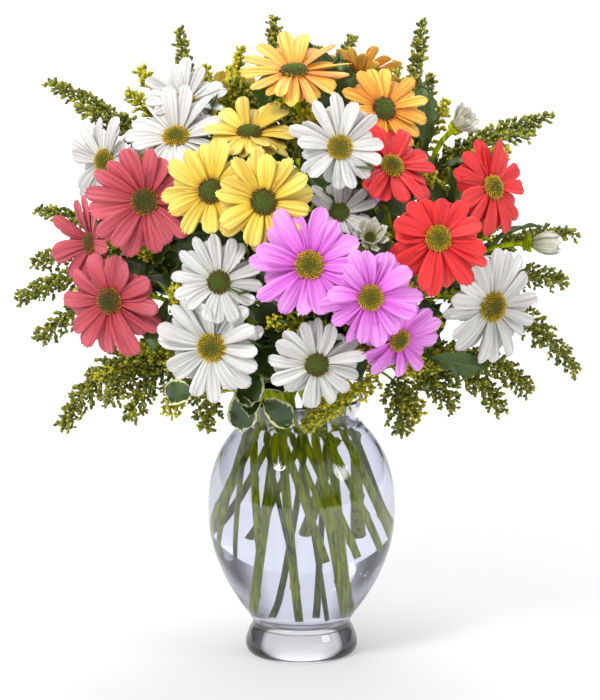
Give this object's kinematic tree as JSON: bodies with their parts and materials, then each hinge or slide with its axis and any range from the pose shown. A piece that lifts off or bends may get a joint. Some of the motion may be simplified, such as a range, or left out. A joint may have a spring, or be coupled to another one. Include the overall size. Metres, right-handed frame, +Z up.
{
  "type": "daisy flower bouquet in a glass vase",
  "caption": "Mixed bouquet of daisy flowers on branching stems, with goldenrod and variegated leaves, standing in water in a clear footed glass vase.",
  "frame": {"origin": "centre of the vase's foot, on the surface it stands on", "axes": "+Z up along the axis of the vase; the bouquet faces -Y; +X is to the right of someone looking at its face"},
  "size_m": [0.3957, 0.3027, 0.4591],
  "materials": {
    "vase": "clear polished glass",
    "water": "still water",
    "stem_green": "fresh green stem with a fine grain",
    "goldenrod": "small matt buds, yellow-green",
    "pittosporum": "leathery leaf with a cream edge",
    "white_petals": "matt, ridged lengthwise",
    "salmon_petals": "matt, ridged lengthwise",
    "yellow_petals": "matt, ridged lengthwise",
    "orange_petals": "matt, ridged lengthwise",
    "red_petals": "matt, ridged lengthwise",
    "magenta_petals": "matt, ridged lengthwise"
  },
  "bodies": {
    "root": {"goldenrod_back": "goldenrod", "goldenrod_left": "goldenrod", "goldenrod_left_low": "goldenrod", "goldenrod_left_top": "goldenrod", "goldenrod_right": "goldenrod", "goldenrod_right_low": "goldenrod", "goldenrod_right_top": "goldenrod", "goldenrod_top": "goldenrod", "magenta_spray_back_petals_1": "magenta_petals", "magenta_spray_back_petals_2": "magenta_petals", "magenta_spray_back_petals_3": "magenta_petals", "magenta_spray_back_stem": "stem_green", "magenta_spray_petals_1": "magenta_petals", "magenta_spray_petals_2": "magenta_petals", "magenta_spray_petals_3": "magenta_petals", "magenta_spray_stem": "stem_green", "orange_spray_petals_1": "orange_petals", "orange_spray_petals_2": "orange_petals", "orange_spray_petals_3": "orange_petals", "orange_spray_stem": "stem_green", "pittosporum_sprig_back": "pittosporum", "pittosporum_sprig_front": "pittosporum", "red_spray_petals_1": "red_petals", "red_spray_petals_2": "red_petals", "red_spray_petals_3": "red_petals", "red_spray_stem": "stem_green", "salmon_spray_petals_1": "salmon_petals", "salmon_spray_petals_2": "salmon_petals", "salmon_spray_petals_3": "salmon_petals", "salmon_spray_stem": "stem_green", "vase": "vase", "water": "water", "white_spray_back_petals_1": "white_petals", "white_spray_back_petals_2": "white_petals", "white_spray_back_petals_3": "white_petals", "white_spray_back_stem": "stem_green", "white_spray_front_petals_1": "white_petals", "white_spray_front_petals_2": "white_petals", "white_spray_front_petals_3": "white_petals", "white_spray_front_stem": "stem_green", "white_spray_left_petals_1": "white_petals", "white_spray_left_petals_2": "white_petals", "white_spray_left_petals_3": "white_petals", "white_spray_left_stem": "stem_green", "white_spray_middle_petals_1": "white_petals", "white_spray_middle_petals_2": "white_petals", "white_spray_middle_petals_3": "white_petals", "white_spray_middle_stem": "stem_green", "white_spray_right_petals_1": "white_petals", "white_spray_right_petals_2": "white_petals", "white_spray_right_petals_3": "white_petals", "white_spray_right_stem": "stem_green", "yellow_spray_back_petals_1": "yellow_petals", "yellow_spray_back_petals_2": "yellow_petals", "yellow_spray_back_petals_3": "yellow_petals", "yellow_spray_back_stem": "stem_green", "yellow_spray_petals_1": "yellow_petals", "yellow_spray_petals_2": "yellow_petals", "yellow_spray_petals_3": "yellow_petals", "yellow_spray_stem": "stem_green"}
  },
  "joints": []
}
